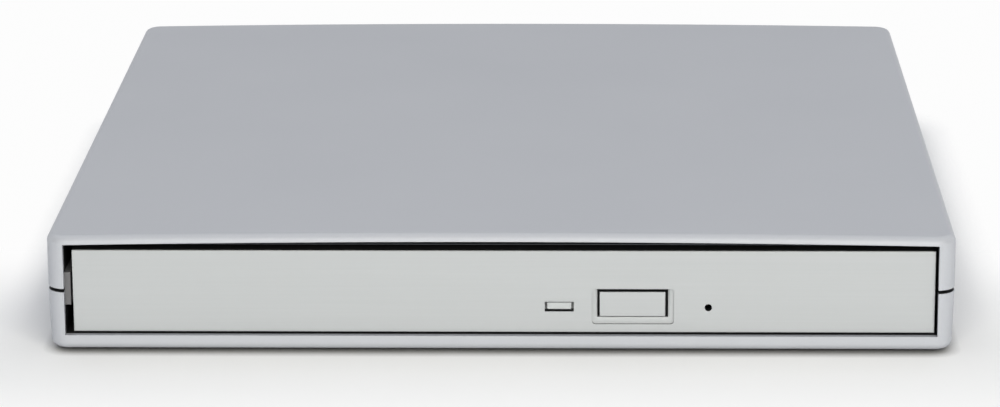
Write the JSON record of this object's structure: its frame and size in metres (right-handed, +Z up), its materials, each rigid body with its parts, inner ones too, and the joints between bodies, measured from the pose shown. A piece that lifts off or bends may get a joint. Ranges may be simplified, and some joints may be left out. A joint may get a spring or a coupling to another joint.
{
  "type": "external disc drive",
  "caption": "Slim external disc drive: a silver two-part case with a crowned lid, and a sprung tray on telescopic rails that carries the turntable and pickup.",
  "frame": {"origin": "middle of the rectangle round the case, on the surface that the feet stand on", "axes": "+Z up, +X to the right seen from the front, -Y towards the user, where the tray comes out"},
  "size_m": [0.1354, 0.142, 0.0187],
  "materials": {
    "silver_lid": "satin silver paint with a fine metallic grain",
    "silver_base": "satin silver paint",
    "grey_bezel": "fine satin texture",
    "clear_pipe": "clear, slightly milky",
    "black_rubber": "matt",
    "black_screw": "black oxide",
    "steel_screw": "plated",
    "sheet_steel": "zinc plated, faintly rolled",
    "circuit_board": "green solder resist",
    "chip_black": "moulded epoxy",
    "board_parts": "fired ceramic",
    "connector_black": "moulded",
    "connector_cream": "moulded",
    "usb_steel": "tin plated",
    "black_plastic": "fine spark texture",
    "rail_steel": "ground",
    "spring_steel": "drawn wire",
    "ribbon_film": "film with printed tracks",
    "cast_metal": "die cast",
    "motor_can": "drawn and plated",
    "copper_coil": "enamelled wire",
    "dark_plate": "satin black",
    "cream_plastic": "moulded acetal",
    "led_white": "clear resin",
    "lens_glass": "coated"
  },
  "bodies": {
    "case": {"top_shell": "silver_lid", "bottom_shell": "silver_base", "rubber_feet": "black_rubber", "case_screws": "black_screw", "bridge_board": "circuit_board", "bridge_screws": "steel_screw", "bridge_chip": "chip_black", "bridge_parts": "board_parts", "usb_socket": "usb_steel", "usb_tongue": "connector_black", "sata_socket": "connector_black", "drive_pan": "sheet_steel", "drive_cover": "sheet_steel", "cover_screws": "steel_screw", "main_board": "circuit_board", "board_screws": "steel_screw", "main_chips": "chip_black", "ribbon_socket": "connector_cream", "sata_plug": "connector_black", "left_rail_guide": "black_plastic", "right_rail_guide": "black_plastic", "latch_catch": "steel_screw", "eject_spring": "spring_steel", "ribbon_cable": "ribbon_film"},
    "left_rail": {"left_rail": "rail_steel"},
    "right_rail": {"right_rail": "rail_steel"},
    "tray": {"tray": "black_plastic", "bezel": "grey_bezel", "front_board": "circuit_board", "eject_switch": "chip_black", "indicator_led": "led_white", "light_pipe": "clear_pipe", "tray_shield": "sheet_steel", "shield_screws": "steel_screw", "traverse_base": "cast_metal", "rubber_dampers": "black_rubber", "guide_rods": "rail_steel", "sled_motor": "motor_can", "spindle_stator": "copper_coil", "traverse_cover": "dark_plate", "traverse_screws": "steel_screw", "latch_solenoid": "copper_coil", "latch_clip": "steel_screw", "latch_spring": "spring_steel", "tray_socket": "connector_cream"},
    "eject_button": {"eject_button": "grey_bezel"},
    "spindle": {"spindle_rotor": "motor_can", "turntable": "black_plastic", "hub_claws": "spring_steel", "disc_pad": "black_rubber"},
    "sled": {"pickup_sled": "cast_metal", "sled_nut": "cream_plastic"},
    "lens": {"lens_holder": "black_plastic", "objective_lens": "lens_glass"},
    "lead_screw": {"lead_screw": "rail_steel"},
    "latch": {"latch_lever": "cream_plastic"}
  },
  "joints": [
    {"name": "tray_slide", "type": "slide", "parent": "case", "child": "tray", "axis": [0, -1, 0], "range_m": [0, 0.13], "deforming": ["eject_spring", "ribbon_cable"]},
    {"name": "left_rail_slide", "type": "slide", "parent": "case", "child": "left_rail", "axis": [0, -1, 0], "range_m": [0, 0.065]},
    {"name": "right_rail_slide", "type": "slide", "parent": "case", "child": "right_rail", "axis": [0, -1, 0], "range_m": [0, 0.065]},
    {"name": "eject_press", "type": "slide", "parent": "tray", "child": "eject_button", "axis": [0, 1, 0], "range_m": [0, 0.0005], "stiffness_N_per_m": 300},
    {"name": "spindle_spin", "type": "hinge", "parent": "tray", "child": "spindle", "pos_m": [0.0004, -0.0041, 0.008], "axis": [0, 0, 1], "continuous": true},
    {"name": "sled_slide", "type": "slide", "parent": "tray", "child": "sled", "axis": [-0.7071, -0.7071, 0], "range_m": [0, 0.034]},
    {"name": "lead_screw_turn", "type": "hinge", "parent": "tray", "child": "lead_screw", "pos_m": [0.01235, -0.01605, 0.0074], "axis": [-0.7071, -0.7071, 0], "range_deg": [0, 4081]},
    {"name": "lens_focus", "type": "slide", "parent": "sled", "child": "lens", "axis": [0, 0, 1], "range_m": [-0.00035, 0.00035], "stiffness_N_per_m": 60},
    {"name": "latch_swing", "type": "hinge", "parent": "tray", "child": "latch", "pos_m": [0.0464, -0.046, 0.006], "axis": [0, 0, -1], "range_deg": [0, 8], "stiffness_Nm_per_rad": 0.004}
  ],
  "couplings": [
    {"joint": "left_rail_slide", "follows": "tray_slide", "ratio": 0.5},
    {"joint": "right_rail_slide", "follows": "tray_slide", "ratio": 0.5},
    {"joint": "lead_screw_turn", "follows": "sled_slide", "rad_per_m": 2094.4}
  ]
}
